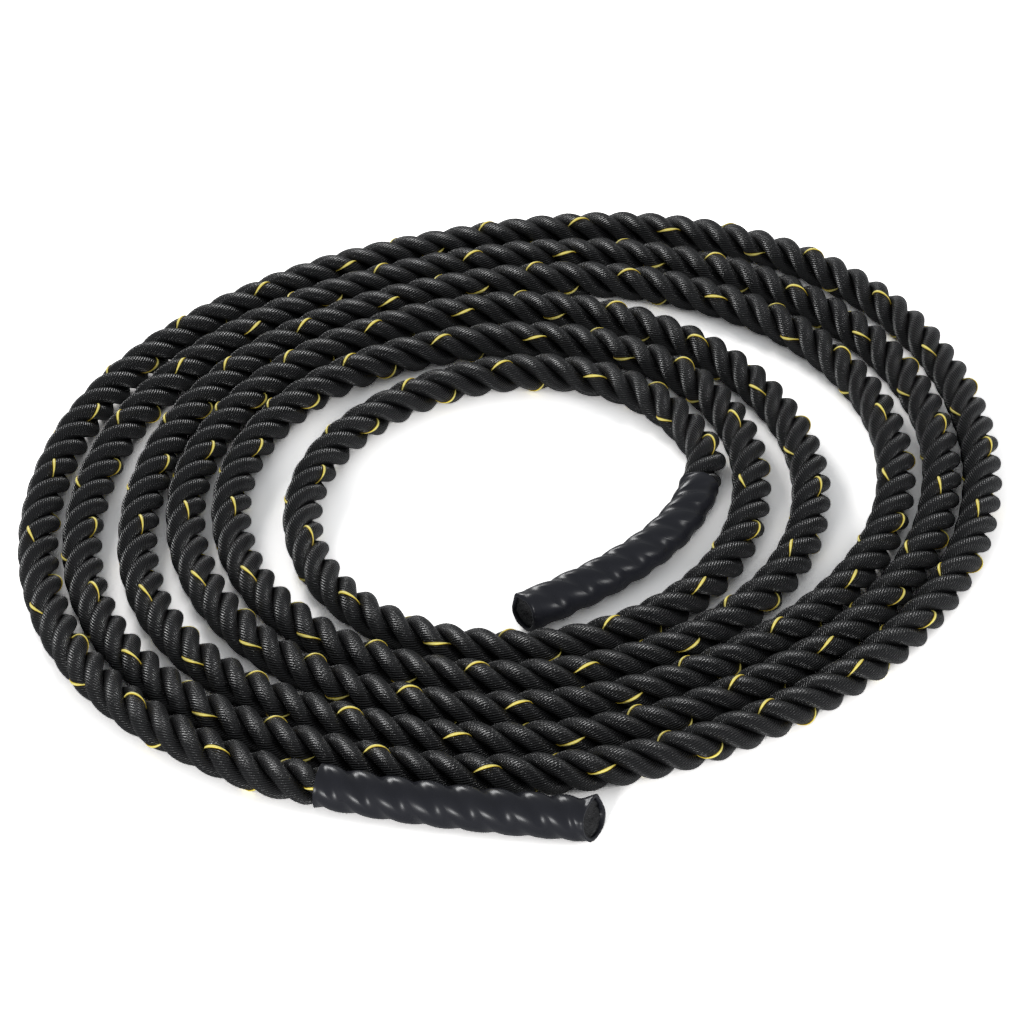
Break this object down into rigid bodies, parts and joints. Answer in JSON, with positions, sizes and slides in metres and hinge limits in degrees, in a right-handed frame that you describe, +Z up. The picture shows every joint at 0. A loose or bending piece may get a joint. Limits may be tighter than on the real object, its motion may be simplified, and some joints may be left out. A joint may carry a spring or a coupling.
{
  "type": "battle rope",
  "caption": "Thick laid training rope lying flat in a loose coil, with a twisted, lobed heat-shrink grip sleeve gathered over each end.",
  "frame": {"origin": "middle of the coil's footprint, on the floor", "axes": "+Z up from the floor, +X to the right and +Y away from the viewer as pictured, so the outer grip lies along the -Y side"},
  "size_m": [0.9394, 0.9068, 0.0393],
  "materials": {
    "rope_yarn": "black polyester yarn, matt with a faint sheen",
    "strand_yarn": "black polyester yarn, hidden inside the sleeves",
    "sleeve_plastic": "satin black heat-shrunk plastic",
    "melted_yarn": "rough, melted and hardened yarn"
  },
  "bodies": {
    "root": {"rope": "rope_yarn", "outer_grip_sleeve": "sleeve_plastic", "outer_strand_end_1": "strand_yarn", "outer_strand_end_2": "strand_yarn", "outer_strand_end_3": "strand_yarn", "outer_end_seal": "melted_yarn", "inner_grip_sleeve": "sleeve_plastic", "inner_strand_end_1": "strand_yarn", "inner_strand_end_2": "strand_yarn", "inner_strand_end_3": "strand_yarn", "inner_end_seal": "melted_yarn"}
  },
  "joints": []
}
